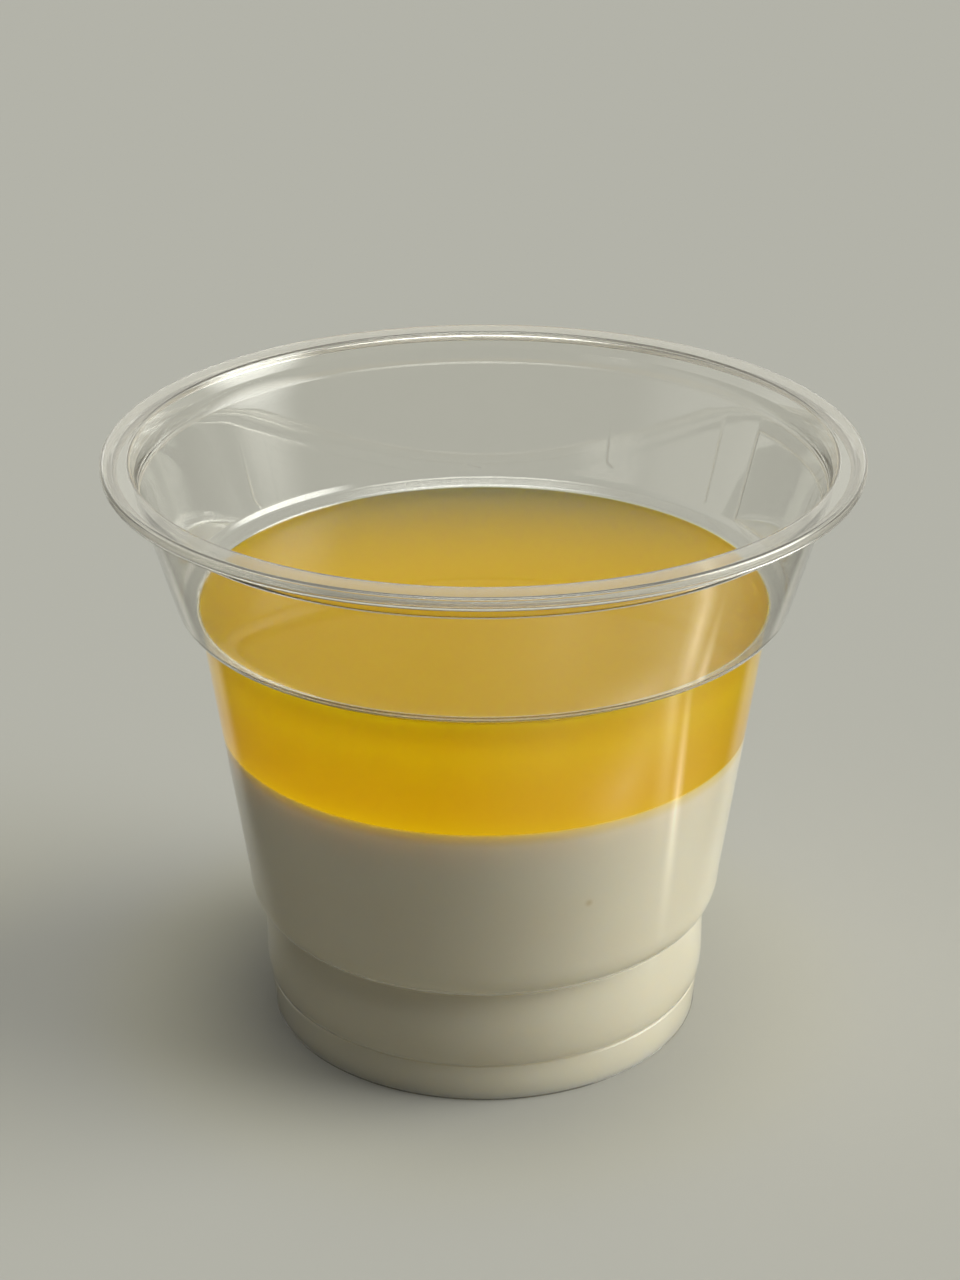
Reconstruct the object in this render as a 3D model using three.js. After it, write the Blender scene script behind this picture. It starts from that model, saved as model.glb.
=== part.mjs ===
// A two-layer panna cotta set in its clear disposable cup: white set cream up to the middle,
// yellow fruit jelly on top of it, and free space up to the rolled rim.
// Millimetres, +Z up. The origin is the centre of the foot ring, on the surface that the cup stands on.
// The cup is one thin formed sheet, so its whole shape is one half-section turned round Z:
// the outer side is drawn from the sizes below and the inner side is that line moved in by the wall.
import * as THREE from "three";

// Driving dimensions of the cup. Radii are to the outer side of the wall, heights are above the table.
const RIM_RADIUS = 49;
const CUP_HEIGHT = 80.7;
const WALL = 0.4;

const BASE_PANEL_RADIUS = 23.8;
const BASE_PANEL_HEIGHT = 2;
const FOOT_RING = { inner: 25.3, outer: 28.5 };
const BASE_BAND = { low: { r: 29.1, z: 0.6 }, high: { r: 29.5, z: 5.5 } };
const LOWER_STEP = { foot: { r: 29.6, z: 5.7 }, head: { r: 30.04, z: 8.6 } };
const UPPER_STEP = { foot: { r: 30.05, z: 16.9 }, head: { r: 32.1, z: 21.3 } };
const MIDDLE_WALL_TOP = { r: 37.6, z: 60 };
const LEDGE_OUTER = { r: 39.7, z: 60.4 };
const UPPER_WALL_FOOT = { r: 40.3, z: 61.3 };
const LID_RIDGE = { r: 44.55, z: 76.2, height: 0.25, reach: 0.2 };
const NECK = { r: 45.05, z: 78.4 };
const FLANGE_INNER_RADIUS = 45.4;
// Share of the wall by which the flange's inner corner moves in when the line is moved to the top side.
const FLANGE_MITRE = 0.7;
const ROLL_DEPTH = 1.8;
const ROLL_CORNER = 0.8;
const ROLL_END_RADIUS = 46.9;

// Levels of the food, and the gap that keeps each solid clear of its neighbour.
const CREAM_TOP = 42.6;
const JELLY_TOP = 59.6;
const GAP = 0.3;

// Facets round the axis, and points on each rounded corner of the section.
const FACETS = 64;
const ROLL_POINTS = 4;
const STEP_POINTS = 4;

const CLEAR_PET = { color: 0xe9edec, roughness: 0.06, metalness: 0, transparent: true, opacity: 0.3 };
const SET_CREAM = { color: 0xe6e0cd, roughness: 0.45, metalness: 0 };
const FRUIT_JELLY = { color: 0xd9a514, roughness: 0.15, metalness: 0 };

/** A point of the half-section: r from the axis and z above the table. */
function at(r, z) {
  return new THREE.Vector2(r, z);
}

/** Points on an elliptic quarter or part of one, from angle start to end in degrees, both ends kept. */
function arc(centre, radiusR, radiusZ, start, end, count) {
  const points = [];
  for (let i = 0; i <= count; i += 1) {
    const angle = THREE.MathUtils.degToRad(start + ((end - start) * i) / count);
    points.push(at(centre.x + radiusR * Math.cos(angle), centre.y + radiusZ * Math.sin(angle)));
  }
  return points;
}

/** A step in the wall: it leaves the lower wall sideways and turns up into the wall above. */
function step(foot, head) {
  const centre = at(foot.r, head.z);
  return arc(centre, head.r - foot.r, head.z - foot.z, -90, 0, STEP_POINTS);
}

/** The line moved sideways by distance, to the left of the way it runs, with mitred corners. */
function moved(line, distance) {
  const normals = line.slice(1).map((point, i) => {
    const along = point.clone().sub(line[i]).normalize();
    return at(-along.y, along.x);
  });
  return line.map((point, i) => {
    const before = normals[Math.max(i - 1, 0)];
    const after = normals[Math.min(i, normals.length - 1)];
    const mitre = before.clone().add(after).normalize();
    return point.clone().addScaledVector(mitre, distance / mitre.dot(after));
  });
}

/** The part of a rising line between two heights, with its ends cut exactly at them. */
function between(line, low, high) {
  const cut = (a, b, z) => a.clone().lerp(b, (z - a.y) / (b.y - a.y));
  const kept = [];
  for (let i = 1; i < line.length; i += 1) {
    const [a, b] = [line[i - 1], line[i]];
    if (a.y < low && b.y >= low) kept.push(cut(a, b, low));
    if (b.y > low && b.y < high) kept.push(b.clone());
    if (a.y < high && b.y >= high) {
      kept.push(cut(a, b, high));
      break;
    }
  }
  return kept;
}

/** The underside: a shallow raised panel inside the flat foot ring. */
function baseLine() {
  return [
    at(0, BASE_PANEL_HEIGHT),
    at(BASE_PANEL_RADIUS, BASE_PANEL_HEIGHT),
    at(FOOT_RING.inner, 0),
    at(FOOT_RING.outer, 0),
  ];
}

/** The outer side of the wall, from the foot ring up to the neck under the rim. */
function wallLine() {
  return [
    at(BASE_BAND.low.r, BASE_BAND.low.z),
    at(BASE_BAND.high.r, BASE_BAND.high.z),
    ...step(LOWER_STEP.foot, LOWER_STEP.head),
    ...step(UPPER_STEP.foot, UPPER_STEP.head),
    at(MIDDLE_WALL_TOP.r, MIDDLE_WALL_TOP.z),
    at(LEDGE_OUTER.r, LEDGE_OUTER.z),
    at(UPPER_WALL_FOOT.r, UPPER_WALL_FOOT.z),
    at(LID_RIDGE.r, LID_RIDGE.z),
    at(LID_RIDGE.r + LID_RIDGE.reach, LID_RIDGE.z + LID_RIDGE.height),
    at(NECK.r, NECK.z),
  ];
}

/** The rim: a flat flange whose edge rolls down and back under. The line is the sheet's inner side here. */
function rimLine() {
  const top = CUP_HEIGHT - WALL;
  const bottom = CUP_HEIGHT - ROLL_DEPTH + WALL;
  const corner = ROLL_CORNER - WALL;
  const outer = RIM_RADIUS - ROLL_CORNER;
  return [
    at(FLANGE_INNER_RADIUS + WALL * FLANGE_MITRE, top),
    ...arc(at(outer, top - corner), corner, corner, 90, 0, ROLL_POINTS),
    ...arc(at(outer, bottom + corner), corner, corner, 0, -90, ROLL_POINTS),
    at(ROLL_END_RADIUS, bottom),
  ];
}

/** The half-section of the cup's sheet, closed on the axis. */
function cupSection() {
  const outside = [...baseLine(), ...wallLine(), ...rimLine()];
  return [...outside, ...moved(outside, WALL).reverse()];
}

/** The half-section of what fills the cup between two heights, clear of its wall by the gap. */
function foodSection(low, high) {
  const side = moved([...baseLine(), ...wallLine()], WALL + GAP);
  const floor = side[0].y;
  if (low > floor) return [at(0, low), ...between(side, low, high), at(0, high)];
  const corner = side.findIndex((point) => point.y === Math.min(...side.map((p) => p.y)));
  return [...side.slice(0, corner + 1), ...between(side.slice(corner), low, high), at(0, high)];
}

/** A solid turned from a half-section that starts and ends on the axis. */
function turned(name, section, finish) {
  const onAxis = section.map((point) => at(Math.abs(point.x) < 1e-6 ? 0 : point.x, point.y));
  const geometry = new THREE.LatheGeometry(onAxis, FACETS);
  geometry.rotateX(Math.PI / 2);
  const mesh = new THREE.Mesh(geometry, new THREE.MeshStandardMaterial(finish));
  mesh.name = name;
  return mesh;
}

const pannaCotta = new THREE.Group();
pannaCotta.add(turned("clear_cup", cupSection(), CLEAR_PET));
pannaCotta.add(turned("cream_layer", foodSection(0, CREAM_TOP), SET_CREAM));
pannaCotta.add(turned("jelly_layer", foodSection(CREAM_TOP + GAP, JELLY_TOP), FRUIT_JELLY));

export default pannaCotta;
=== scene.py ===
# %% [markdown]
# # A two-layer panna cotta in a clear cup
#
# The object is a small dessert, sold ready to eat: white set cream fills a clear plastic cup to the
# middle, a layer of yellow fruit jelly lies on it, and the cup's flared mouth is empty. There are three
# pieces, the cup, the cream and the jelly, and the imported model already holds each of them as a plain
# solid. This lesson replaces each solid with a finer mesh of the same form and gives it a finish.
#
# The frame comes first: the model's solids are loaded, each with its placing applied to its points. The
# finished pieces have to stay inside it.

# %% Load the frame
import math

import bpy
import numpy as np
from mathutils import Matrix, Vector


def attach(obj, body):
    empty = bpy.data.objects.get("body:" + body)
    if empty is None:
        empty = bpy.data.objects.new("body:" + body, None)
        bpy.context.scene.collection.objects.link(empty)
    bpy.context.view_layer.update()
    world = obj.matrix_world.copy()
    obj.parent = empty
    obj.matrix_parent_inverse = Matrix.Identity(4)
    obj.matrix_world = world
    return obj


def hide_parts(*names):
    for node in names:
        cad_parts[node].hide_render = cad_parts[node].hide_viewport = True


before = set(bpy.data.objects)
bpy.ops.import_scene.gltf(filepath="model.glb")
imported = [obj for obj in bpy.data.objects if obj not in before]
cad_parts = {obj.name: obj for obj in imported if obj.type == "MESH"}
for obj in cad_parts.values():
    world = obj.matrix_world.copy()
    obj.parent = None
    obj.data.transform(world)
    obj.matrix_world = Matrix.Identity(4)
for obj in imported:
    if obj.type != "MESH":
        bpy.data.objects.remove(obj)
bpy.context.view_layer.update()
MM = 0.001
print("nodes:", sorted(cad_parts))

# %% [markdown]
# ## The sizes of the cup
#
# The cup is thermoformed: a warm sheet of clear PET is drawn into a mould, so it has one thickness nearly
# everywhere and its outer side is a copy of the mould. All sizes are therefore those of the outer side.
# They are the values that the solids were built from, in millimetres, because a maker's drawing has them
# so. Only the foot and the corner of the rim are drawn crisper than in those plain solids. A point of the
# section is a pair: how far it is from the axis, and how high it is above the table.

# %% Sizes in millimetres
RIM_RADIUS = 49.0
CUP_HEIGHT = 80.7
WALL = 0.4

BASE_PANEL = (23.8, 2.0)
FOOT_INNER = (25.3, 0.0)
FOOT_OUTER = (28.9, 0.0)
FOOT_LIP = (29.28, 0.25)
BASE_BAND = ((29.1, 0.6), (29.5, 5.5))
LOWER_STEP = ((29.6, 5.7), (30.04, 8.6))
UPPER_STEP = ((30.05, 16.9), (32.1, 21.3))
MIDDLE_WALL_TOP = (37.6, 60.0)
LEDGE_OUTER = (39.7, 60.4)
UPPER_WALL_FOOT = (40.3, 61.3)
LID_RIDGE = ((44.55, 76.2), (44.75, 76.45))
NECK = (45.05, 78.4)
FLANGE_INNER_RADIUS = 45.4
FLANGE_MITRE = 0.7
ROLL_DEPTH = 1.8
ROLL_CORNER = 0.55
ROLL_END_RADIUS = 46.9

CREAM_TOP = 42.6
JELLY_TOP = 59.6
SOLIDS_GAP = 0.3
print(f"rim {2 * RIM_RADIUS:.0f} mm across, {CUP_HEIGHT} mm high")

# %% [markdown]
# ## The camera
#
# A long lens from about 40 cm away and 25 degrees above the table shows the mouth as a wide oval and the
# side walls nearly upright, as the eye sees a cup that stands in front of it. The angles were found by
# laying the rim, the ledge and the foot ring, whose sizes are known, over each other in the view. The
# camera comes before the pieces, so that each of them can be looked at as soon as it exists.

# %% Camera
CAMERA_PLACE = (0.0, -342.5, 210.5)
CAMERA_DOWN = math.radians(24.684)
CAMERA_TURN = math.radians(0.086)
CAMERA_ROLL = math.radians(-0.172)
FRAME_HEIGHT = 1280
FOCAL_LENGTH_PIXELS = 2846
SENSOR = 36.0

camera = bpy.data.objects.new("camera", bpy.data.cameras.new("camera"))
bpy.context.scene.collection.objects.link(camera)
camera.data.sensor_width = SENSOR
camera.data.lens = SENSOR * FOCAL_LENGTH_PIXELS / FRAME_HEIGHT
camera.data.clip_start = 10 * MM
camera.data.clip_end = 50.0
camera.matrix_world = (
    Matrix.Translation(Vector(CAMERA_PLACE) * MM)
    @ Matrix.Rotation(CAMERA_TURN, 4, "Z")
    @ Matrix.Rotation(math.radians(90) - CAMERA_DOWN, 4, "X")
    @ Matrix.Rotation(CAMERA_ROLL, 4, "Z")
)
bpy.context.scene.camera = camera
print(f"lens {camera.data.lens:.1f} mm, looking {math.degrees(CAMERA_DOWN):.1f} degrees down")

# %% [markdown]
# ## Drawing a section
#
# Everything here is round, so each piece is one half-section turned about the upright axis, as a potter or
# a lathe would make it. The section could be drawn by hand as a curve. It is worked out from the sizes
# instead, so that the walls of the cup and the sides of what fills it come from the same line and fit each
# other. A few helpers are enough: an arc, a rounded corner, the same line moved sideways by the wall's
# thickness, and the stretch of it between two heights.

# %% Helpers for a section
def arc(centre, radius_r, radius_z, start, end, count):
    """Points on part of an ellipse, from angle start to end in degrees, both ends kept."""
    angles = np.radians(np.linspace(start, end, count + 1))
    return [(centre[0] + radius_r * math.cos(a), centre[1] + radius_z * math.sin(a)) for a in angles]


def rounded(before, corner, after, radius, count=5):
    """The arc that rounds a corner between two straight runs."""
    corner = np.array(corner)
    back = np.array(before) - corner
    ahead = np.array(after) - corner
    back /= np.linalg.norm(back)
    ahead /= np.linalg.norm(ahead)
    half = math.acos(np.clip(back @ ahead, -1, 1)) / 2
    middle = (back + ahead) / np.linalg.norm(back + ahead)
    centre = corner + middle * radius / math.sin(half)
    first = corner + back * radius / math.tan(half) - centre
    last = corner + ahead * radius / math.tan(half) - centre
    turn = math.atan2(first[0] * last[1] - first[1] * last[0], first @ last)
    spokes = []
    for share in np.linspace(0, 1, count + 1):
        c, s = math.cos(turn * share), math.sin(turn * share)
        spokes.append(tuple(centre + (c * first[0] - s * first[1], s * first[0] + c * first[1])))
    return spokes


def smoothed(corners):
    """A line through corners given as (r, z, radius of the rounding), with 0 for one that stays sharp."""
    points = [tuple(corners[0][:2])]
    for before, here, after in zip(corners, corners[1:], corners[2:]):
        if here[2]:
            points += rounded(before[:2], here[:2], after[:2], here[2])
        else:
            points.append(tuple(here[:2]))
    return points + [tuple(corners[-1][:2])]


def distances(points, line):
    """How far each point is from the line."""
    points, line = np.array(points), np.array(line)
    start, run = line[:-1], np.diff(line, axis=0)
    along = np.einsum("psk,sk->ps", points[:, None] - start, run) / (run**2).sum(1)
    nearest = start + np.clip(along, 0, 1)[..., None] * run
    return np.linalg.norm(points[:, None] - nearest, axis=2).min(1)


def sideways(line, distance):
    """The line moved to the left of its way. Points that would make it cross itself in a tight bend go."""
    points = np.array(line)
    run = np.diff(points, axis=0)
    run /= np.linalg.norm(run, axis=1)[:, None]
    normals = np.stack([-run[:, 1], run[:, 0]], axis=1)
    before = np.vstack([normals[:1], normals])
    after = np.vstack([normals, normals[-1:]])
    mitre = before + after
    mitre /= np.linalg.norm(mitre, axis=1)[:, None]
    moved = points + mitre * distance / (mitre * after).sum(1)[:, None]
    clear = distances(moved, line) > distance * 0.995
    return [tuple(point) for point in moved[clear]]


def between(line, low, high):
    """The part of a rising line between two heights, with its ends cut exactly at them."""
    kept = []
    for a, b in zip(line, line[1:]):
        for level in (low, high):
            if a[1] < level <= b[1]:
                share = (level - a[1]) / (b[1] - a[1])
                kept.append((a[0] + (b[0] - a[0]) * share, level))
        if low < b[1] < high:
            kept.append(b)
    return kept


# %% [markdown]
# ## The section of the sheet
#
# The line starts on the axis under the cup and follows the outer side: a raised panel, the ring that the
# cup stands on, a base band, two steps that stiffen the wall, the long middle wall, the ledge that the
# next cup in a stack rests on, the flared mouth with its ridge for a lid, and the flange whose edge rolls
# under. The inner side is the same line moved in by the wall.
#
# Drawn plastic has no sharp edge, so each corner gets the rounding that its mould would have. Under each
# step and at the foot the mould also leaves a lip, a tenth of a millimetre deep, whose shoulder faces up.
# It is too small to be seen as a shape, but it catches the light, and draws the fine bright line that runs
# round such a cup. A bump texture couldn't do this, because the cream and the jelly behind the wall have
# to follow the same line.

# %% The outer line of the cup
STEP_POINTS = 10
ROLL_POINTS = 8
CREASE_ROUNDING = 0.2
# A fine lip under each step and at the foot: how far the wall turns in, and how high the turn is.
LIP = (0.14, 0.11)
LIP_ROUNDING = 0.08
LIP_BELOW_STEP = 0.45


def lip(r, z):
    """The two corners of a lip whose edge is at r and z. A narrow light lies along its shoulder."""
    return [(r, z, LIP_ROUNDING), (r - LIP[0], z + LIP[1], LIP_ROUNDING)]


def step(below, foot, head):
    """A step in the wall: a lip, a rounded crease, and a bulge that turns up into the wall above."""
    edge = lip(foot[0], foot[1] - LIP_BELOW_STEP)
    groove = (foot[0] - LIP[0], foot[1])
    bulge = arc((foot[0], head[1]), head[0] - foot[0], head[1] - foot[1], -90, 0, STEP_POINTS)
    kept = [point for point in bulge if math.dist(point, groove) > 1.5 * CREASE_ROUNDING]
    start = smoothed([(*below, 0), *edge, (*groove, 0)])[1:-1]
    return start + rounded(start[-1], groove, kept[0], CREASE_ROUNDING) + kept


def wall_line():
    """The outer side, from under the cup up to the flange. The third number is a corner's rounding."""
    flange_under = CUP_HEIGHT - WALL
    foot_to_band = [
        (0.0, BASE_PANEL[1], 0),
        (*BASE_PANEL, 0.8),
        (*FOOT_INNER, 0.5),
        (*FOOT_OUTER, 0.1),
        *lip(FOOT_LIP[0], FOOT_LIP[1]),
        (*BASE_BAND[1], 0),
    ]
    ledge_to_flange = [
        (*UPPER_STEP[1], 0),
        (*MIDDLE_WALL_TOP, 0.5),
        (*LEDGE_OUTER, 0.9),
        (*UPPER_WALL_FOOT, 1.2),
        (*LID_RIDGE[0], 0.08),
        (*LID_RIDGE[1], 0.1),
        (*NECK, 1.0),
        (FLANGE_INNER_RADIUS + WALL * FLANGE_MITRE, flange_under, 0.12),
        (RIM_RADIUS - ROLL_CORNER, flange_under, 0),
    ]
    steps = step(BASE_BAND[0], *LOWER_STEP) + step(LOWER_STEP[1], *UPPER_STEP)
    return smoothed(foot_to_band)[:-1] + steps + smoothed(ledge_to_flange)[1:-1]


def roll_line():
    """The inner side of the rolled edge, from the flange down and back under it."""
    top = CUP_HEIGHT - WALL
    bottom = CUP_HEIGHT - ROLL_DEPTH + WALL
    corner = ROLL_CORNER - WALL
    outer = RIM_RADIUS - ROLL_CORNER
    over = arc((outer, top - corner), corner, corner, 90, 0, ROLL_POINTS)
    under = arc((outer, bottom + corner), corner, corner, 0, -90, ROLL_POINTS)
    return over + under + [(ROLL_END_RADIUS, bottom)]


outer_line = wall_line() + roll_line()
print(f"{len(outer_line)} points from the axis to the end of the roll")

# %% [markdown]
# ## Where the rings of points lie
#
# A turned mesh is a grid: one row of points for each point of the section, and one column for each
# direction round the axis. Plain walls need few of either. The small raised marks on the mouth need them
# close together, so rows and columns are set closer there only, which costs far less than a fine mesh all
# over. The marks are moulded ones, as such cups have: a fine upright line, the outline of a bare label
# field, and three short hooks that keep stacked cups from jamming. Each is a line of (degrees from the far
# side towards +X, height) points. They stand out by less than a twentieth of a millimetre. A taller bead
# would trap light inside the sheet, and show as a black line.

# %% Moulded marks, and rows and columns that follow them
MARKS = {
    "upright_line": [(50.0, 62.2), (50.0, 72.2)],
    "field_side": [(59.4, 61.9), (59.4, 74.2)],
    "field_head": [(59.9, 74.2), (100.0, 74.2)],
    "field_foot": [(59.4, 61.75), (100.0, 61.75)],
    "field_end": [(100.5, 61.9), (100.5, 74.2)],
    "hook_left": [(-52.0, 67.2), (-51.8, 62.9), (-50.7, 61.9)],
    "hook_right": [(25.4, 68.6), (25.5, 64.0), (27.0, 63.4)],
    "hook_back": [(-3.2, 62.3), (-0.6, 61.9)],
}
MARK_HEIGHT = 0.045
MARK_HALF_WIDTH = 0.32
MARK_RADIUS = 43.0
MARK_ATTRIBUTE = "mark"
PLAIN_COLUMNS = 232
FINE_DEGREES = 0.12
MARK_REACH_DEGREES = 0.5
FINE_ROWS = ((61.3, 64.2), (73.8, 74.6))
FINE_ROW_STEP = 0.2
COARSE_ROW_STEP = 2.5
# No two columns are closer than this share of the fine step, and no added row is this close to a point.
CLOSEST_COLUMNS = 0.6
CLEAR_OF_POINTS = 0.02


def fine_columns():
    """Directions round the axis in degrees: evenly spread, and close together at the marks."""
    found = set(np.round(np.linspace(-180, 180, PLAIN_COLUMNS + 1), 3))
    for name, line in MARKS.items():
        degrees = [point[0] for point in line]
        spans = [(min(degrees), max(degrees))]
        if name in ("field_head", "field_foot"):
            spans = [(degrees[0], degrees[0]), (degrees[-1], degrees[-1])]
        for low, high in spans:
            low, high = low - MARK_REACH_DEGREES, high + MARK_REACH_DEGREES
            found |= set(np.round(np.arange(low, high, FINE_DEGREES), 3))
    spaced = [-180.0]
    for degrees in sorted(found):
        if degrees - spaced[-1] >= FINE_DEGREES * CLOSEST_COLUMNS:
            spaced.append(float(degrees))
    return spaced


def with_fine_rows(line):
    """The line with points added where the marks need them."""
    low, high = FINE_ROWS[0][0], FINE_ROWS[-1][1]
    levels = list(np.arange(low, high, COARSE_ROW_STEP))
    for start, end in FINE_ROWS:
        levels += list(np.arange(start, end, FINE_ROW_STEP))
    filled = [line[0]]
    for a, b in zip(line, line[1:]):
        for level in sorted(levels):
            inside = a[1] + CLEAR_OF_POINTS < level < b[1] - CLEAR_OF_POINTS
            if inside and level - filled[-1][1] > FINE_ROW_STEP / 2:
                share = (level - a[1]) / (b[1] - a[1])
                filled.append((a[0] + (b[0] - a[0]) * share, level))
        filled.append(b)
    return filled


columns = fine_columns()
inner_line = sideways(outer_line, WALL)
cup_section = with_fine_rows(outer_line) + with_fine_rows(inner_line)[::-1]
print(f"cup: {len(cup_section)} rows, {len(columns)} columns")

# %% [markdown]
# ## The sections of what fills the cup
#
# A gap of air between plastic and food would shine like a silver skin, and there is none where cream or
# jelly has set against a wall. So each filling reaches halfway into the sheet. The cream ends and the
# jelly starts at one level, midway in the gap that their solids keep. The last number of a point says how
# far the unevenness of a poured layer moves it: the cream's surface is a little wavy, and the jelly was
# poured on that.
#
# Liquid jelly creeps up a wall before it sets, and leaves a low rim round its surface. It falls off over a
# millimetre or two, which a fading exponential draws well.

# %% Sections of the cream and the jelly
REACH_INTO_WALL = WALL / 2
LAYER_LEVEL = CREAM_TOP + SOLIDS_GAP / 2
LAYER_HAIRLINE = 0.02
CREEP_HEIGHT = 0.35
CREEP_FADE = 1.1
# How much of the unevenness each surface has.
CREAM_SHARE = 1.0
JELLY_SHARE = 0.75
SURFACE_ROWS = 22
# Smooth shading blends two faces over the whole of the next row, so each corner has a row this close to it.
CORNER_ROW = 0.05


def surface_radii(edge):
    """Rings of a free surface from its edge to the axis, closest at the edge."""
    return edge * (1 - np.linspace(0, 1, SURFACE_ROWS) ** 2)


def beside(corner, following):
    """A point close to a corner, on the way to the next point of the line."""
    share = CORNER_ROW / math.dist(corner, following)
    return tuple(a + (b - a) * share for a, b in zip(corner, following))


def cream_section():
    """From the axis under the cup, up the wall, and back to the axis on the cream's surface."""
    side = sideways(outer_line, REACH_INTO_WALL)
    lowest = int(np.argmin([point[1] for point in side]))
    level = LAYER_LEVEL - LAYER_HAIRLINE / 2
    wall = side[: lowest + 1] + between(side[lowest:], side[lowest][1], level)
    top = [(radius, level, CREAM_SHARE) for radius in surface_radii(wall[-1][0])]
    top.insert(0, (*beside(wall[-1], wall[-2]), CREAM_SHARE))
    return [(*point, 0.0) for point in wall[:-1]] + top


def jelly_section():
    """From the axis on the cream, out to the wall, up to the creep line, and back over the surface."""
    side = sideways(outer_line, REACH_INTO_WALL)
    level = LAYER_LEVEL + LAYER_HAIRLINE / 2
    wall = between(side, level, JELLY_TOP + CREEP_HEIGHT)
    floor = [(radius, level, CREAM_SHARE) for radius in surface_radii(wall[0][0])[::-1]]
    floor.append((*beside(wall[0], wall[1]), CREAM_SHARE))
    edge = wall[-1][0]
    top = [(*beside(wall[-1], wall[-2]), JELLY_SHARE)]
    for radius in surface_radii(edge):
        creep = CREEP_HEIGHT * math.exp((radius - edge) / CREEP_FADE)
        top.append((radius, JELLY_TOP + creep, JELLY_SHARE))
    return floor + [(*point, 0.0) for point in wall[1:-1]] + top


print(f"cream: {len(cream_section())} rows, jelly: {len(jelly_section())} rows")

# %% [markdown]
# ## One helper for nodes
#
# Both the shapes and the finishes are built from nodes. One function adds a node, sets its options and
# fills its inputs, either with a value or with another node's output. It works the same in a material and
# in a Geometry Nodes tree, and it keeps each tree short enough to be read as a recipe. Colours are written
# as the hex numbers that a paint program shows, and turned into the linear values that light is added up
# in.

# %% Helpers for nodes and colours
# The Mix node has its sockets once for each kind of value. These are the numbers of the colour ones.
MIX_FIRST, MIX_SECOND, MIX_RESULT = 6, 7, 2


def add_node(tree, kind, inputs=None, **settings):
    """A new node. inputs maps a socket's name or number to a value or to another node's output."""
    made = tree.nodes.new(kind)
    for name, value in settings.items():
        setattr(made, name, value)
    for name, value in (inputs or {}).items():
        if isinstance(value, bpy.types.NodeSocket):
            tree.links.new(value, made.inputs[name])
        else:
            made.inputs[name].default_value = value
    return made


def linear(hex_colour):
    """An sRGB hex colour as linear red, green, blue and alpha."""
    values = [int(hex_colour[i : i + 2], 16) / 255 for i in (1, 3, 5)]
    return tuple(v / 12.92 if v <= 0.04045 else ((v + 0.055) / 1.055) ** 2.4 for v in values) + (1.0,)


def new_material(name):
    """An empty node material, and its output node."""
    material = bpy.data.materials.new(name)
    material.use_nodes = True
    material.node_tree.nodes.clear()
    return material, add_node(material.node_tree, "ShaderNodeOutputMaterial")


def by_height(tree, place, stops):
    """A value that changes with the height above the table, from stops of (height in mm, value)."""
    height = add_node(tree, "ShaderNodeSeparateXYZ", {"Vector": place}).outputs["Z"]
    value = stops[0][1]
    for (low, _), (high, goal) in zip(stops, stops[1:]):
        span = {"Value": height, "From Min": low * MM, "From Max": high * MM}
        rise = {**span, "To Min": value, "To Max": goal}
        value = add_node(tree, "ShaderNodeMapRange", rise, interpolation_type="SMOOTHSTEP").outputs[0]
    return value


print("pure white is", linear("#ffffff"))

# %% [markdown]
# ## Clear PET
#
# The cup is polyethylene terephthalate, drawn warm over a polished mould. It is nearly colourless, bends
# light a little more than window glass (IOR 1.57), and shines. The drawing leaves it slightly uneven in
# polish, which is a change in roughness, and wavy towards the rim, which is a bump on the real shape a few
# millimetres long.
#
# Where the sheet was bent hardest, or pressed on a rough patch of the mould, PET turns milky: on the
# flange, on the lid ridge, in the creases and on the moulded marks. That haze scatters light at the
# surface, and a layer of sheen over the clear plastic does the same. How much of it there is depends on
# the height alone, except on the marks, whose share comes with the mesh as an attribute.
#
# A renderer treats clear plastic as a lens for the camera, but no light gets through it to what it holds,
# because it can't be followed back through a lens. The Light Path node tells the rays that gather light
# for the food, and those that ask whether a lamp is in sight, from the ones that reach the eye, and lets
# them straight through.

# %% Material of the cup
PET_TINT = "#fbfaf6"
PET_IOR = 1.57
PET_LAMP_SHARE = 0.93
WAVE_SIZE = 5.0
WAVE_STRETCH = (1.0, 1.0, 0.25)
WAVE_DEPTH = ((59.0, 0.009), (61.0, 0.006), (77.0, 0.006), (78.6, 0.002))
# The polish of the mould varies over patches of this size, between these two values of roughness.
POLISH_SIZE = 14.0
POLISH = (0.015, 0.06)
# The middle part of a noise pattern, which is where nearly all of its values lie.
NOISE_SPAN = (0.35, 0.75)
# Each row is a band of haze: (height, share) points from its foot to its head.
HAZE_BY_HEIGHT = (
    (0.0, 0.9), (0.3, 0.9), (0.5, 0.0),
    (5.5, 0.0), (5.8, 0.7), (6.0, 0.7), (6.4, 0.0),
    (16.9, 0.0), (17.2, 0.8), (17.5, 0.8), (18.2, 0.0),
    (60.1, 0.0), (60.5, 0.3), (61.0, 0.3), (61.6, 0.0),
    (76.0, 0.0), (76.2, 0.9), (76.4, 0.9), (76.7, 0.2),
    (78.7, 0.2), (78.95, 0.5), (79.15, 0.5), (79.3, 0.3),
    (79.9, 0.3), (80.15, 1.0), (80.45, 1.0), (80.62, 0.6),
)
MARK_HAZE = 0.6
HAZE_TINT = "#fffaf0"
# How matt the haze is in the bands, and on the marks.
HAZE_MATT = (0.5, 0.8)


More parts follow.
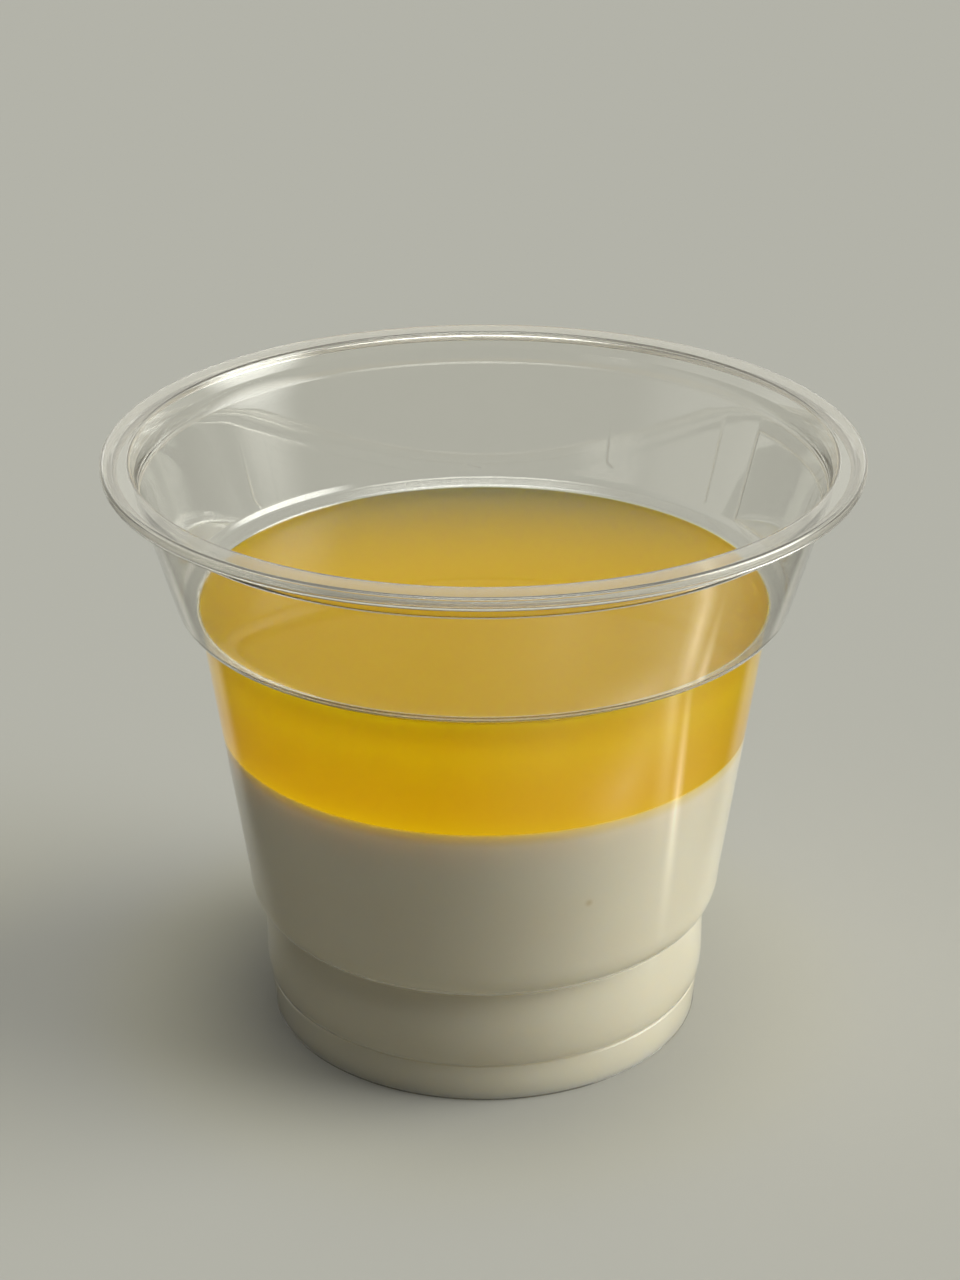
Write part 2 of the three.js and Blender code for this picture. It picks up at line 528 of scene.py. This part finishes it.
def clear_pet():
    """Thermoformed clear PET."""
    material, output = new_material("clear PET, thermoformed")
    tree = material.node_tree
    place = add_node(tree, "ShaderNodeTexCoord").outputs["Object"]
    polish = add_node(
        tree,
        "ShaderNodeTexNoise",
        {"Vector": place, "Scale": 1 / (POLISH_SIZE * MM), "Detail": 2.0},
    )
    roughness = add_node(
        tree,
        "ShaderNodeMapRange",
        {
            "Value": polish.outputs["Fac"],
            "From Min": NOISE_SPAN[0],
            "From Max": NOISE_SPAN[1],
            "To Min": POLISH[0],
            "To Max": POLISH[1],
        },
    )
    stretched = add_node(tree, "ShaderNodeMapping", {"Vector": place, "Scale": WAVE_STRETCH})
    waves = add_node(
        tree,
        "ShaderNodeTexNoise",
        {"Vector": stretched.outputs["Vector"], "Scale": 1 / (WAVE_SIZE * MM), "Detail": 1.0},
    )
    depth = by_height(tree, place, [(height, depth * MM) for height, depth in WAVE_DEPTH])
    bump = add_node(
        tree, "ShaderNodeBump", {"Height": waves.outputs["Fac"], "Strength": 1.0, "Distance": depth}
    )
    on_marks = add_node(tree, "ShaderNodeAttribute", attribute_name=MARK_ATTRIBUTE).outputs["Fac"]
    milky = add_node(
        tree,
        "ShaderNodeMath",
        {0: on_marks, 1: MARK_HAZE, 2: by_height(tree, place, HAZE_BY_HEIGHT)},
        operation="MULTIPLY_ADD",
    ).outputs[0]
    matt = add_node(
        tree, "ShaderNodeMapRange", {"Value": on_marks, "To Min": HAZE_MATT[0], "To Max": HAZE_MATT[1]}
    )
    plastic = add_node(
        tree,
        "ShaderNodeBsdfPrincipled",
        {
            "Base Color": linear(PET_TINT),
            "Roughness": roughness.outputs["Result"],
            "IOR": PET_IOR,
            "Transmission Weight": 1.0,
            "Sheen Weight": milky,
            "Sheen Roughness": matt.outputs[0],
            "Sheen Tint": linear(HAZE_TINT),
            "Normal": bump.outputs["Normal"],
        },
    )
    opening = add_node(tree, "ShaderNodeBsdfTransparent", {"Color": (PET_LAMP_SHARE,) * 3 + (1.0,)})
    rays = add_node(tree, "ShaderNodeLightPath")
    for_food = add_node(
        tree,
        "ShaderNodeMixShader",
        {0: rays.outputs["Is Diffuse Ray"], 1: plastic.outputs[0], 2: opening.outputs[0]},
    )
    for_lamps = add_node(
        tree,
        "ShaderNodeMixShader",
        {0: rays.outputs["Is Shadow Ray"], 1: for_food.outputs[0], 2: opening.outputs[0]},
    )
    tree.links.new(for_lamps.outputs[0], output.inputs["Surface"])
    return material


pet = clear_pet()
print(pet.name)

# %% [markdown]
# ## Set cream and fruit jelly
#
# Set cream is milk fat and gelatine. Light enters it, is scattered within a few millimetres and comes out
# softened, a little warmer than it went in. Subsurface scattering does this: the radius says how far each
# colour travels. The top millimetres, under the jelly, are painted yellow: a painted glow that stands for
# the jelly's light scattered down into the cream. One faint speck lies against the wall.
#
# The jelly is fruit syrup set clear, cloudy with pulp. Blue light dies in it almost at once, while red and
# green cross the whole cup, so it glows deep yellow even on its shaded side. Red and green get the same
# reach, because the side turns orange as soon as red goes further. The reach is short at the free surface,
# which shows its own darker colour. Towards its far edge the surface is painted greyer and darker, a
# painted shade and grey reflection. Rays that ask for a lamp pass through it, tinted, so that the cream
# below isn't in a black shadow.
#
# Both lie wet against the wall, where hardly anything is mirrored, since water and PET bend light nearly
# alike. Only the jelly's free surface shines.

# %% Materials of the food
CREAM_COLOUR = "#f3eddb"
CREAM_SHADE = "#efe7d2"
# Painted glow: the jelly's yellow light in the cream's top millimetres, fading downwards by height.
JELLY_GLOW_COLOUR = "#e2cf6e"
JELLY_GLOW_HEIGHTS = ((40.6, 0.0), (42.3, 0.5), (42.75, 0.9))
CREAM_REACH = 3.0
CREAM_REACH_BY_COLOUR = (1.0, 0.95, 0.8)
CREAM_ROUGHNESS = 0.4
CREAM_MOTTLE_SIZE = 9.0
SPECK_PLACE = (13.1, -30.5, 30.7)
SPECK_REACH = 0.8
SPECK_COLOUR = "#e0d4b4"

JELLY_COLOUR = "#c49a00"
JELLY_DEEP = "#c09400"
JELLY_TOP_COLOUR = "#cba400"
JELLY_REACH = ((53.0, 190.0), (58.6, 50.0), (59.3, 6.0), (59.65, 6.0), (59.9, 0.6))
JELLY_REACH_BY_COLOUR = (1.0, 1.0, 0.02)
# Pulp throws light mostly onwards.
JELLY_ONWARDS = 0.5
JELLY_ROUGHNESS = 0.04
JELLY_MOTTLE_SIZE = 7.0
# The height over which the side's colour gives way to the free surface's.
JELLY_SKIN = ((JELLY_TOP - 0.8, 0.0), (JELLY_TOP - 0.3, 1.0))
# Painted shade and grey reflection towards the surface's far edge: with the distance from a point in front
# of the cup it is painted greyer and darker, slowly at first.
FAR_EDGE_SHADE_COLOUR = "#707058"
FAR_EDGE_SHADE_FROM = (0.0, -80.0, 59.6)
FAR_EDGE_SHADE_DISTANCES = (84.0, 120.0)
FAR_EDGE_SHADE_POWER = 2.0
JELLY_LETS_THROUGH = (0.96, 0.88, 0.08, 1.0)
WATER_IOR = 1.35
WETTED_SPECULAR = 0.13
FREE_SPECULAR = 0.35


def set_cream():
    """Cream set with gelatine, against the wall of the cup."""
    material, output = new_material("set cream")
    tree = material.node_tree
    place = add_node(tree, "ShaderNodeTexCoord").outputs["Object"]
    mottle = add_node(
        tree,
        "ShaderNodeTexNoise",
        {"Vector": place, "Scale": 1 / (CREAM_MOTTLE_SIZE * MM), "Detail": 3.0},
    )
    body = add_node(
        tree,
        "ShaderNodeMix",
        {0: mottle.outputs["Fac"], MIX_FIRST: linear(CREAM_COLOUR), MIX_SECOND: linear(CREAM_SHADE)},
        data_type="RGBA",
    )
    # Painted glow of the jelly's light in the top of the cream, by height.
    jelly_glow_share = by_height(tree, place, JELLY_GLOW_HEIGHTS)
    colour = add_node(
        tree,
        "ShaderNodeMix",
        {0: jelly_glow_share, MIX_FIRST: body.outputs[MIX_RESULT], MIX_SECOND: linear(JELLY_GLOW_COLOUR)},
        data_type="RGBA",
    )
    from_speck = add_node(
        tree, "ShaderNodeVectorMath", {0: place, 1: Vector(SPECK_PLACE) * MM}, operation="DISTANCE"
    )
    speck = add_node(
        tree,
        "ShaderNodeMapRange",
        {"Value": from_speck.outputs["Value"], "From Max": SPECK_REACH * MM, "To Min": 1.0, "To Max": 0.0},
        interpolation_type="SMOOTHSTEP",
    )
    colour = add_node(
        tree,
        "ShaderNodeMix",
        {0: speck.outputs[0], MIX_FIRST: colour.outputs[MIX_RESULT], MIX_SECOND: linear(SPECK_COLOUR)},
        data_type="RGBA",
    )
    cream = add_node(
        tree,
        "ShaderNodeBsdfPrincipled",
        {
            "Base Color": colour.outputs[MIX_RESULT],
            "Roughness": CREAM_ROUGHNESS,
            "IOR": WATER_IOR,
            "Specular IOR Level": WETTED_SPECULAR,
            "Subsurface Weight": 1.0,
            "Subsurface Radius": CREAM_REACH_BY_COLOUR,
            "Subsurface Scale": CREAM_REACH * MM,
        },
    )
    tree.links.new(cream.outputs[0], output.inputs["Surface"])
    return material


def fruit_jelly():
    """Clear fruit jelly, cloudy with pulp."""
    material, output = new_material("fruit jelly")
    tree = material.node_tree
    place = add_node(tree, "ShaderNodeTexCoord").outputs["Object"]
    mottle = add_node(
        tree,
        "ShaderNodeTexNoise",
        {"Vector": place, "Scale": 1 / (JELLY_MOTTLE_SIZE * MM), "Detail": 3.0},
    )
    colour = add_node(
        tree,
        "ShaderNodeMix",
        {0: mottle.outputs["Fac"], MIX_FIRST: linear(JELLY_COLOUR), MIX_SECOND: linear(JELLY_DEEP)},
        data_type="RGBA",
    )
    on_top = by_height(tree, place, JELLY_SKIN)
    colour = add_node(
        tree,
        "ShaderNodeMix",
        {0: on_top, MIX_FIRST: colour.outputs[MIX_RESULT], MIX_SECOND: linear(JELLY_TOP_COLOUR)},
        data_type="RGBA",
    )
    # Painted shade and grey reflection: the free surface is painted greyer and darker further from a point
    # in front of the cup.
    away = add_node(
        tree, "ShaderNodeVectorMath", {0: place, 1: Vector(FAR_EDGE_SHADE_FROM) * MM}, operation="DISTANCE"
    )
    far_shade = add_node(
        tree,
        "ShaderNodeMapRange",
        {
            "Value": away.outputs["Value"],
            "From Min": FAR_EDGE_SHADE_DISTANCES[0] * MM,
            "From Max": FAR_EDGE_SHADE_DISTANCES[1] * MM,
        },
    ).outputs[0]
    far_shade = add_node(tree, "ShaderNodeMath", {0: far_shade, 1: FAR_EDGE_SHADE_POWER}, operation="POWER").outputs[0]
    far_shade = add_node(tree, "ShaderNodeMath", {0: far_shade, 1: on_top}, operation="MULTIPLY").outputs[0]
    colour = add_node(
        tree,
        "ShaderNodeMix",
        {0: far_shade, MIX_FIRST: colour.outputs[MIX_RESULT], MIX_SECOND: linear(FAR_EDGE_SHADE_COLOUR)},
        data_type="RGBA",
    )
    shine = add_node(
        tree, "ShaderNodeMapRange", {"Value": on_top, "To Min": WETTED_SPECULAR, "To Max": FREE_SPECULAR}
    )
    reach = by_height(tree, place, [(height, reach * MM) for height, reach in JELLY_REACH])
    jelly = add_node(
        tree,
        "ShaderNodeBsdfPrincipled",
        {
            "Base Color": colour.outputs[MIX_RESULT],
            "Roughness": JELLY_ROUGHNESS,
            "IOR": WATER_IOR,
            "Specular IOR Level": shine.outputs[0],
            "Subsurface Weight": 1.0,
            "Subsurface Radius": JELLY_REACH_BY_COLOUR,
            "Subsurface Scale": reach,
            "Subsurface Anisotropy": JELLY_ONWARDS,
        },
    )
    gap = add_node(tree, "ShaderNodeBsdfTransparent", {"Color": JELLY_LETS_THROUGH})
    rays = add_node(tree, "ShaderNodeLightPath")
    surface = add_node(
        tree,
        "ShaderNodeMixShader",
        {0: rays.outputs["Is Shadow Ray"], 1: jelly.outputs[0], 2: gap.outputs[0]},
    )
    tree.links.new(surface.outputs[0], output.inputs["Surface"])
    return material


cream_finish, jelly_finish = set_cream(), fruit_jelly()
print(cream_finish.name, "and", jelly_finish.name)

# %% [markdown]
# ## The turning tree
#
# Blender can spin a section with its Screw modifier, but that gives evenly spaced columns and no marks.
# This Geometry Nodes tree does what a lathe does, with rules that can be changed later. It takes two sets
# of points, the section and the columns, and lays a flat grid with a row for each of the one and a column
# for each of the other. Every grid point then looks up its own radius, height and direction by its number
# and moves there. The distance to the drawn marks, measured on the unrolled wall, lifts the sheet into a
# smooth bead. How much of the lift a point has is stored on the grid, for the haze on the marks. That
# comes before the points move and are welded, because both the lift and the numbers are read anew at every
# node. Last, the seam and the poles are welded, so that the skin is closed.

# %% The Geometry Nodes tree that turns a section
WELD_DISTANCE = 0.001
UNEVEN_SIZE = 26.0
UNEVEN_SEED = 4.0
TREE_INPUTS = (
    ("Section", "NodeSocketGeometry"),
    ("Columns", "NodeSocketObject"),
    ("Marks", "NodeSocketObject"),
    ("Mark Height", "NodeSocketFloat"),
    ("Mark Half Width", "NodeSocketFloat"),
    ("Mark Radius", "NodeSocketFloat"),
    ("Unevenness", "NodeSocketFloat"),
    ("Finish", "NodeSocketMaterial"),
)


def turning_tree():
    """The tree that turns a section of points about the upright axis."""
    tree = bpy.data.node_groups.new("turned from a section", "GeometryNodeTree")
    for name, kind in TREE_INPUTS:
        tree.interface.new_socket(name, in_out="INPUT", socket_type=kind)
    tree.interface.new_socket("Piece", in_out="OUTPUT", socket_type="NodeSocketGeometry")
    given = add_node(tree, "NodeGroupInput").outputs
    columns = add_node(tree, "GeometryNodeObjectInfo", {"Object": given["Columns"]}).outputs["Geometry"]
    sizes = [
        add_node(tree, "GeometryNodeAttributeDomainSize", {"Geometry": points}).outputs[0]
        for points in (given["Section"], columns)
    ]
    rows_count, columns_count = sizes
    grid = add_node(
        tree,
        "GeometryNodeMeshGrid",
        {"Size X": 1.0, "Size Y": 1.0, "Vertices X": rows_count, "Vertices Y": columns_count},
    )

    number = add_node(tree, "GeometryNodeInputIndex").outputs[0]
    share = add_node(tree, "ShaderNodeMath", {0: number, 1: columns_count}, operation="DIVIDE").outputs[0]
    row = add_node(tree, "ShaderNodeMath", {0: share}, operation="FLOOR").outputs[0]
    column = add_node(tree, "ShaderNodeMath", {0: number, 1: columns_count}, operation="MODULO").outputs[0]
    own_place = add_node(tree, "GeometryNodeInputPosition").outputs[0]
    on_section = add_node(
        tree,
        "GeometryNodeSampleIndex",
        {"Geometry": given["Section"], "Value": own_place, "Index": row},
        data_type="FLOAT_VECTOR",
    )
    on_columns = add_node(
        tree,
        "GeometryNodeSampleIndex",
        {"Geometry": columns, "Value": own_place, "Index": column},
        data_type="FLOAT_VECTOR",
    )
    section = add_node(tree, "ShaderNodeSeparateXYZ", {0: on_section.outputs[0]}).outputs
    angle = add_node(tree, "ShaderNodeSeparateXYZ", {0: on_columns.outputs[0]}).outputs["X"]

    arc_length = add_node(
        tree, "ShaderNodeMath", {0: angle, 1: given["Mark Radius"]}, operation="MULTIPLY"
    )
    unrolled = add_node(tree, "ShaderNodeCombineXYZ", {"X": arc_length.outputs[0], "Y": section["Z"]})
    marks = add_node(tree, "GeometryNodeObjectInfo", {"Object": given["Marks"]}).outputs["Geometry"]
    nearest = add_node(
        tree,
        "GeometryNodeProximity",
        {0: marks, "Sample Position": unrolled.outputs[0]},
        target_element="EDGES",
    )
    lift = add_node(
        tree,
        "ShaderNodeMapRange",
        {
            "Value": nearest.outputs["Distance"],
            "From Min": 0.0,
            "From Max": given["Mark Half Width"],
            "To Min": given["Mark Height"],
            "To Max": 0.0,
        },
        interpolation_type="SMOOTHSTEP",
    )
    lifted = add_node(tree, "ShaderNodeMath", {0: section["X"], 1: lift.outputs[0]}, operation="ADD")
    radius = lifted.outputs[0]
    sine = add_node(tree, "ShaderNodeMath", {0: angle}, operation="SINE").outputs[0]
    cosine = add_node(tree, "ShaderNodeMath", {0: angle}, operation="COSINE").outputs[0]
    x = add_node(tree, "ShaderNodeMath", {0: radius, 1: sine}, operation="MULTIPLY").outputs[0]
    y = add_node(tree, "ShaderNodeMath", {0: radius, 1: cosine}, operation="MULTIPLY").outputs[0]

    across = add_node(tree, "ShaderNodeCombineXYZ", {"X": x, "Y": y})
    swell = add_node(
        tree,
        "ShaderNodeTexNoise",
        {"Vector": across.outputs[0], "W": UNEVEN_SEED, "Scale": 1 / (UNEVEN_SIZE * MM), "Detail": 1.0},
        noise_dimensions="4D",
    )
    about_level = add_node(
        tree, "ShaderNodeMath", {0: swell.outputs["Fac"], 1: 0.5}, operation="SUBTRACT"
    )
    most = add_node(
        tree, "ShaderNodeMath", {0: about_level.outputs[0], 1: given["Unevenness"]}, operation="MULTIPLY"
    )
    z = add_node(
        tree,
        "ShaderNodeMath",
        {0: most.outputs[0], 1: section["Y"], 2: section["Z"]},
        operation="MULTIPLY_ADD",
    ).outputs[0]
    turned_place = add_node(tree, "ShaderNodeCombineXYZ", {"X": x, "Y": y, "Z": z})
    on_marks = add_node(
        tree, "ShaderNodeMath", {0: lift.outputs[0], 1: given["Mark Height"]}, operation="DIVIDE"
    )
    marked = add_node(
        tree,
        "GeometryNodeStoreNamedAttribute",
        {"Geometry": grid.outputs[0], "Name": MARK_ATTRIBUTE, "Value": on_marks.outputs[0]},
        data_type="FLOAT",
        domain="POINT",
    )
    moved = add_node(
        tree,
        "GeometryNodeSetPosition",
        {"Geometry": marked.outputs[0], "Position": turned_place.outputs[0]},
    )
    welded = add_node(
        tree, "GeometryNodeMergeByDistance", {"Geometry": moved.outputs[0], "Distance": WELD_DISTANCE * MM}
    )
    smooth = add_node(tree, "GeometryNodeSetShadeSmooth", {"Geometry": welded.outputs[0]})
    real = add_node(tree, "GeometryNodeRealizeInstances", {"Geometry": smooth.outputs[0]})
    finished = add_node(
        tree, "GeometryNodeSetMaterial", {"Geometry": real.outputs[0], "Material": given["Finish"]}
    )
    add_node(tree, "NodeGroupOutput", {0: finished.outputs[0]})
    return tree


turning = turning_tree()
print(f"{len(turning.nodes)} nodes in the turning tree")

# %% [markdown]
# ## Turning the three pieces
#
# A modifier that runs the tree sits on a bare row of points, the section. Its inputs are set before
# Blender looks at the object for the first time. The result is then kept as a plain mesh and the modifier
# thrown away, because only a plain mesh can be exported. The section's points carry a radius as X, a
# height as Z, and as Y how far the unevenness moves them, since the tree reads nothing else.

# %% Turn the pieces
UNEVEN_HEIGHT = 0.1


def helper_object(name, points, edges=()):
    """A mesh of bare points and edges, which only feeds the tree."""
    mesh = bpy.data.meshes.new(name)
    mesh.from_pydata(points, edges, [])
    made = bpy.data.objects.new(name, mesh)
    bpy.context.scene.collection.objects.link(made)
    return made


def marks_object():
    """The marks as edges on the unrolled wall."""
    points, edges = [], []
    for line in MARKS.values():
        for i, (degrees, height) in enumerate(line):
            if i:
                edges.append((len(points) - 1, len(points)))
            points.append((math.radians(degrees) * MARK_RADIUS * MM, height * MM, 0.0))
    return helper_object("marks", points, edges)


def columns_object(name, degrees):
    """The columns as points, with their direction as X."""
    return helper_object(name, [(math.radians(d), 0.0, 0.0) for d in degrees])


def turned(name, section, columns_helper, finish, marks=None, mark_height=0.0, unevenness=0.0):
    """The piece that a section gives when it is turned, as a plain mesh."""
    piece = helper_object(name, [(r * MM, give, z * MM) for r, z, give in section])
    modifier = piece.modifiers.new("turned", "NODES")
    modifier.node_group = turning
    values = {
        "Columns": columns_helper,
        "Marks": marks,
        "Mark Height": mark_height * MM,
        "Mark Half Width": MARK_HALF_WIDTH * MM,
        "Mark Radius": MARK_RADIUS * MM,
        "Unevenness": unevenness * MM,
        "Finish": finish,
    }
    for socket in turning.interface.items_tree:
        if socket.name in values:
            modifier[socket.identifier] = values[socket.name]
    depsgraph = bpy.context.evaluated_depsgraph_get()
    solid = bpy.data.meshes.new_from_object(piece.evaluated_get(depsgraph))
    solid.name = name
    piece.modifiers.clear()
    piece.data = solid
    return piece


def volume(piece):
    """The signed volume in cubic centimetres: positive when the faces point outwards."""
    mesh = piece.data
    mesh.calc_loop_triangles()
    corners = np.empty(len(mesh.vertices) * 3)
    mesh.vertices.foreach_get("co", corners)
    triangles = np.empty(len(mesh.loop_triangles) * 3, int)
    mesh.loop_triangles.foreach_get("vertices", triangles)
    a, b, c = corners.reshape(-1, 3)[triangles.reshape(-1, 3)].transpose(1, 0, 2)
    return float(np.einsum("ij,ij->", a, np.cross(b, c)) / 6 * 1e6), len(triangles) // 3


marks_helper = marks_object()
fine_helper = columns_object("fine_columns", columns)
plain_helper = columns_object("plain_columns", np.linspace(-180, 180, PLAIN_COLUMNS + 1))
cup = turned("cup", [(*point, 0.0) for point in cup_section], fine_helper, pet, marks_helper, MARK_HEIGHT)
cream = turned("cream", cream_section(), plain_helper, cream_finish, unevenness=UNEVEN_HEIGHT)
jelly = turned("jelly", jelly_section(), plain_helper, jelly_finish, unevenness=UNEVEN_HEIGHT)
for helper in (marks_helper, fine_helper, plain_helper):
    bpy.data.objects.remove(helper)
for piece in (cup, cream, jelly):
    print(piece.name, "volume %.2f cm3, %d triangles" % volume(piece))

# %% [markdown]
# ## Fitting the pieces to the model
#
# Nothing moves on a cup of dessert, so all three pieces ride on the one body that the model has. Each of
# them stands for the plain solid of the same place.

# %% Ride and replace
for piece, node_name, slot_name in (
    (cup, "clear_cup", "clear_plastic"),
    (cream, "cream_layer", "set_cream"),
    (jelly, "jelly_layer", "fruit_jelly"),
):
    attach(piece, "root")
    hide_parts(node_name)
    print(piece.name, "stands for", node_name)

# %% [markdown]
# ## Floor and light
#
# Clear plastic shows only what surrounds it, and in an evenly white room it would vanish. So the room is
# dim, with a few lights that have no edge: a window to the right, pale walls behind for the flange to
# mirror, and a ceiling. They are lobes in the world's brightness, each full in one direction and fading
# out around it. A lamp with an edge would be mirrored as a hard shape by the polished wall. One more wall
# is seen in gloss only, as it would take the shade off the cream.
#
# The wall of the cup leans outwards, so what its front mirrors is the table. A pale floor there would lay
# a white veil over the food. The floor is therefore three things at once: pale for the eye, dark for what
# the cup mirrors, and in between for the light that it throws back up. Its sheen, which only gloss and the
# food see, has soft patches where the window would lie on a real table top. The narrow one draws the
# bright streak on the right of the cup. What the cup's outline mirrors is the floor close behind it, and
# that part stays pale.

# %% Sizes and tones of the floor and the room
FLOOR_COLOUR = "#b3b2ad"
TABLE_COLOUR = "#94928c"
TABLE_MIRRORED = "#403f3c"
# The part of the mirrored table that stays pale: from where to where it turns pale going back and going in
# towards the middle, and how much it widens on the way back.
PALE_BEHIND = (-12.0, 12.0)
PALE_BESIDE = (60.0, 40.0)
PALE_FAN = 0.6
TABLE_ROUGHNESS = 0.6
FLOOR_HALF = 8.0
SHEEN_COLOUR = "#fffae8"
# Each patch of sheen on the table: its middle, its half length and half width in millimetres, how many
# degrees it is turned, and its brightness.
SHEEN = (
    ((76.0, -15.5), (36.0, 6.0), 5.0, 3.2),
    ((94.0, -27.0), (42.0, 12.0), -3.0, 1.7),
    ((64.0, -50.0), (38.0, 9.0), 40.0, 1.0),
    ((95.0, -35.0), (90.0, 75.0), 0.0, 0.7),
    ((40.0, -85.0), (75.0, 60.0), 0.0, 0.4),
)
SHEEN_PEAK = 2.0
ROOM_COLOUR = "#f4f5ee"
# What the eye sees past the floor's far edge, when it looks from low down.
BACKDROP_COLOUR = "#b7b6aa"
ROOM_DIM = 0.05
ROOM_MIRRORED = 0.26
# Each light in the room: direction from the far side towards +X, height, half width in degrees, brightness.
ROOM_LIGHTS = (
    ("window", 92, 28, 30, 7.0),
    ("wall, left", -40, 0, 50, 0.33),
    ("wall, middle", 0, 0, 50, 0.33),
    ("wall, right", 40, 0, 50, 0.33),
    ("ceiling", 90, 88, 28, 5.2),
)
# These are seen in glossy surfaces only.
MIRRORED_LIGHTS = (("wall, far left", -85, 5, 45, 0.6),)


def floor_material():
    """A pale floor for the eye, and a darker table for what the cup mirrors and for light thrown up."""
    material, output = new_material("pale floor")
    tree = material.node_tree
    pale = add_node(
        tree,
        "ShaderNodeBsdfPrincipled",
        {"Base Color": linear(FLOOR_COLOUR), "Roughness": 1.0, "Specular IOR Level": 0.0},
    )
    place = add_node(tree, "ShaderNodeTexCoord").outputs["Object"]
    sheen = 0.0
    for middle, reach, turn, strength in SHEEN:
        on_patch = add_node(
            tree,
            "ShaderNodeMapping",
            {
                "Vector": place,
                "Location": Vector((*middle, 0.0)) * MM,
                "Rotation": (0.0, 0.0, math.radians(turn)),
                "Scale": Vector((*reach, 1.0)) * MM,
            },
            vector_type="TEXTURE",
        )
        distance = add_node(tree, "ShaderNodeVectorMath", {0: on_patch.outputs[0]}, operation="LENGTH")
        patch = add_node(
            tree,
            "ShaderNodeMapRange",
            {"Value": distance.outputs["Value"], "To Min": 1.0, "To Max": 0.0},
        )
        peak = add_node(tree, "ShaderNodeMath", {0: patch.outputs[0], 1: SHEEN_PEAK}, operation="POWER")
        sheen = add_node(
            tree, "ShaderNodeMath", {0: peak.outputs[0], 1: strength, 2: sheen}, operation="MULTIPLY_ADD"
        ).outputs[0]
    glow = {"Emission Color": linear(SHEEN_COLOUR), "Emission Strength": sheen}
    glow["Roughness"] = TABLE_ROUGHNESS
    lighting = add_node(tree, "ShaderNodeBsdfPrincipled", {"Base Color": linear(TABLE_COLOUR), **glow})
    across = add_node(tree, "ShaderNodeSeparateXYZ", {0: place}).outputs
    aside = add_node(tree, "ShaderNodeMath", {0: across["X"]}, operation="ABSOLUTE").outputs[0]
    from_fan = add_node(
        tree, "ShaderNodeMath", {0: across["Y"], 1: -PALE_FAN, 2: aside}, operation="MULTIPLY_ADD"
    ).outputs[0]
    behind = 1.0
    for value, (dark, bright) in ((from_fan, PALE_BESIDE), (across["Y"], PALE_BEHIND)):
        share = add_node(
            tree,
            "ShaderNodeMapRange",
            {"Value": value, "From Min": dark * MM, "From Max": bright * MM},
            interpolation_type="SMOOTHSTEP",
        )
        both = add_node(tree, "ShaderNodeMath", {0: behind, 1: share.outputs[0]}, operation="MULTIPLY")
        behind = both.outputs[0]
    tone = add_node(
        tree,
        "ShaderNodeMix",
        {0: behind, MIX_FIRST: linear(TABLE_MIRRORED), MIX_SECOND: linear(FLOOR_COLOUR)},
        data_type="RGBA",
    )
    mirrored = add_node(tree, "ShaderNodeBsdfPrincipled", {"Base Color": tone.outputs[MIX_RESULT], **glow})
    rays = add_node(tree, "ShaderNodeLightPath")
    for_eye = add_node(
        tree,
        "ShaderNodeMixShader",
        {0: rays.outputs["Glossy Depth"], 1: pale.outputs[0], 2: mirrored.outputs[0]},
    )
    seen = add_node(
        tree,
        "ShaderNodeMixShader",
        {0: rays.outputs["Diffuse Depth"], 1: for_eye.outputs[0], 2: lighting.outputs[0]},
    )
    tree.links.new(seen.outputs[0], output.inputs["Surface"])
    return material


def towards(azimuth, elevation):
    """The direction given by its angle from the far side towards +X and its angle above the table."""
    turn, rise = math.radians(azimuth), math.radians(elevation)
    return (math.cos(rise) * math.sin(turn), math.cos(rise) * math.cos(turn), math.sin(rise))


def lit(tree, direction, brightness, lights):
    """The brightness of the room in a direction, once some soft-edged lights are added to it."""
    for _, azimuth, elevation, reach, strength in lights:
        aligned = add_node(
            tree,
            "ShaderNodeVectorMath",
            {0: direction, 1: towards(azimuth, elevation)},
            operation="DOT_PRODUCT",
        )
        edge = math.cos(math.radians(reach))
        lobe = add_node(
            tree,
            "ShaderNodeMapRange",
            {"Value": aligned.outputs["Value"], "From Min": edge, "To Max": strength},
            interpolation_type="SMOOTHERSTEP",
        )
        brightness = add_node(
            tree, "ShaderNodeMath", {0: brightness, 1: lobe.outputs[0]}, operation="ADD"
        ).outputs[0]
    return brightness


def room():
    """A dim room with soft-edged lights. Gloss mirrors a little more of it than what lights the food."""
    world = bpy.data.worlds.new("studio")
    world.use_nodes = True
    tree = world.node_tree
    tree.nodes.clear()
    direction = add_node(tree, "ShaderNodeTexCoord").outputs["Generated"]
    for_gloss = lit(tree, direction, ROOM_MIRRORED, MIRRORED_LIGHTS)
    rays = add_node(tree, "ShaderNodeLightPath")
    total = add_node(
        tree,
        "ShaderNodeMath",
        {0: rays.outputs["Is Glossy Ray"], 1: for_gloss, 2: lit(tree, direction, ROOM_DIM, ROOM_LIGHTS)},
        operation="MULTIPLY_ADD",
    )
    lights = add_node(
        tree, "ShaderNodeBackground", {"Color": linear(ROOM_COLOUR), "Strength": total.outputs[0]}
    )
    backdrop = add_node(tree, "ShaderNodeBackground", {"Color": linear(BACKDROP_COLOUR), "Strength": 1.0})
    seen = add_node(
        tree,
        "ShaderNodeMixShader",
        {0: rays.outputs["Is Camera Ray"], 1: lights.outputs[0], 2: backdrop.outputs[0]},
    )
    add_node(tree, "ShaderNodeOutputWorld", {"Surface": seen.outputs[0]})
    return world


floor_mesh = bpy.data.meshes.new("floor")
corner_signs = ((-1, -1), (1, -1), (1, 1), (-1, 1))
floor_mesh.from_pydata([(x * FLOOR_HALF, y * FLOOR_HALF, 0.0) for x, y in corner_signs], [], [(0, 1, 2, 3)])
floor_mesh.materials.append(floor_material())
floor = bpy.data.objects.new("floor", floor_mesh)
bpy.context.scene.collection.objects.link(floor)
bpy.context.scene.world = room()
bpy.context.scene.view_settings.view_transform = "Standard"
print("lights in the room:", [light[0] for light in ROOM_LIGHTS])
